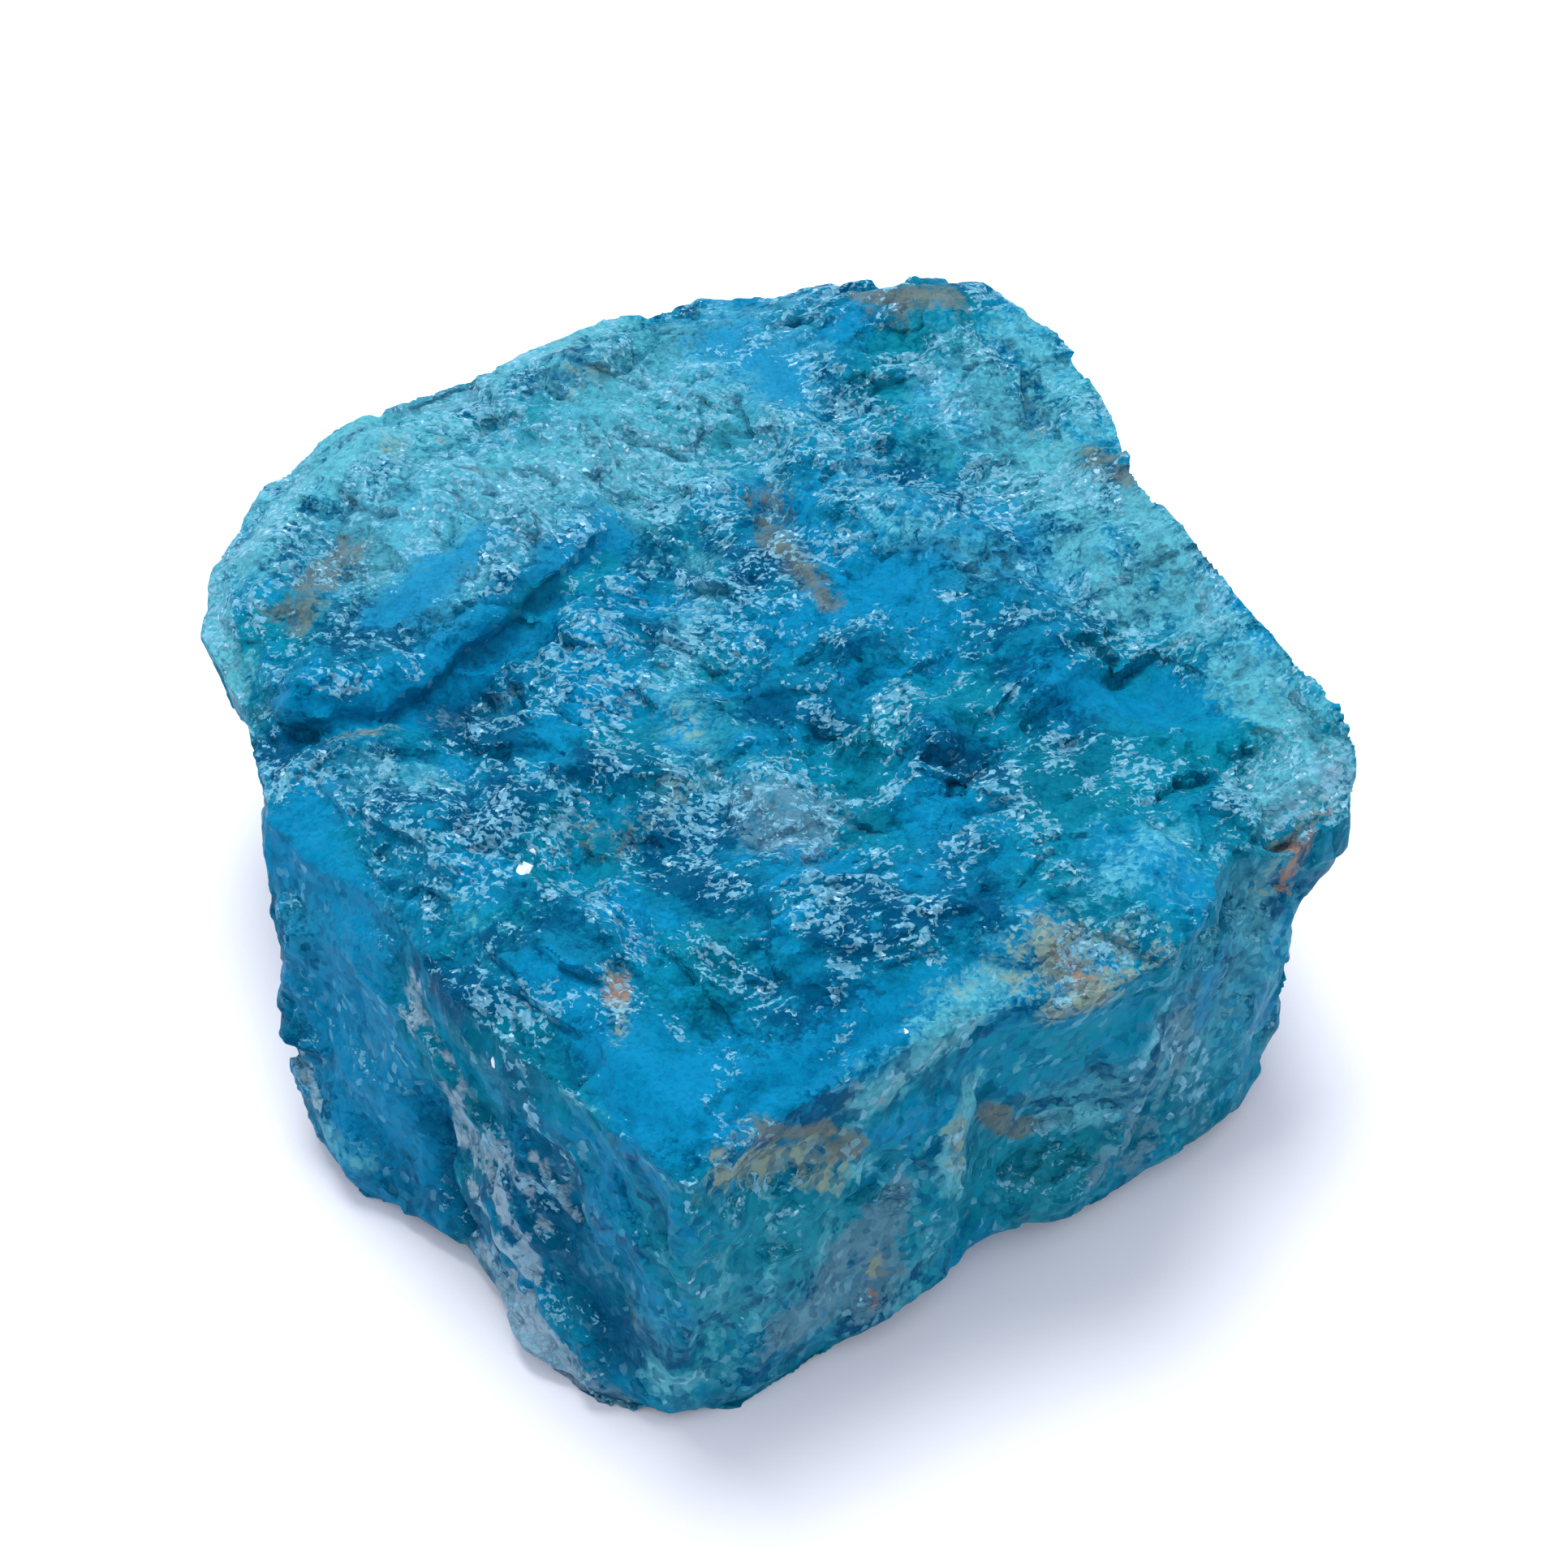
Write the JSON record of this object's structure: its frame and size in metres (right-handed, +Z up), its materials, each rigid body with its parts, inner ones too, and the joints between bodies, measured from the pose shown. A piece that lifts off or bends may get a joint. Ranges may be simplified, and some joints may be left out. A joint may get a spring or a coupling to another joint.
{
  "type": "raw apatite",
  "caption": "Rough block-like piece of unpolished blue apatite with a broken, dished top, steep chipped flanks and a flat underside to rest on.",
  "frame": {"origin": "middle of the bounding box's bottom, on the surface the stone rests on", "axes": "+Z up, the shortest extent; +X to the stone's right and -Y towards the viewer, with its sharpest upright edge at the front"},
  "size_m": [0.0394, 0.041, 0.0157],
  "materials": {
    "raw_apatite": "rough, frosted and slightly translucent"
  },
  "bodies": {
    "root": {"stone": "raw_apatite"}
  },
  "joints": []
}
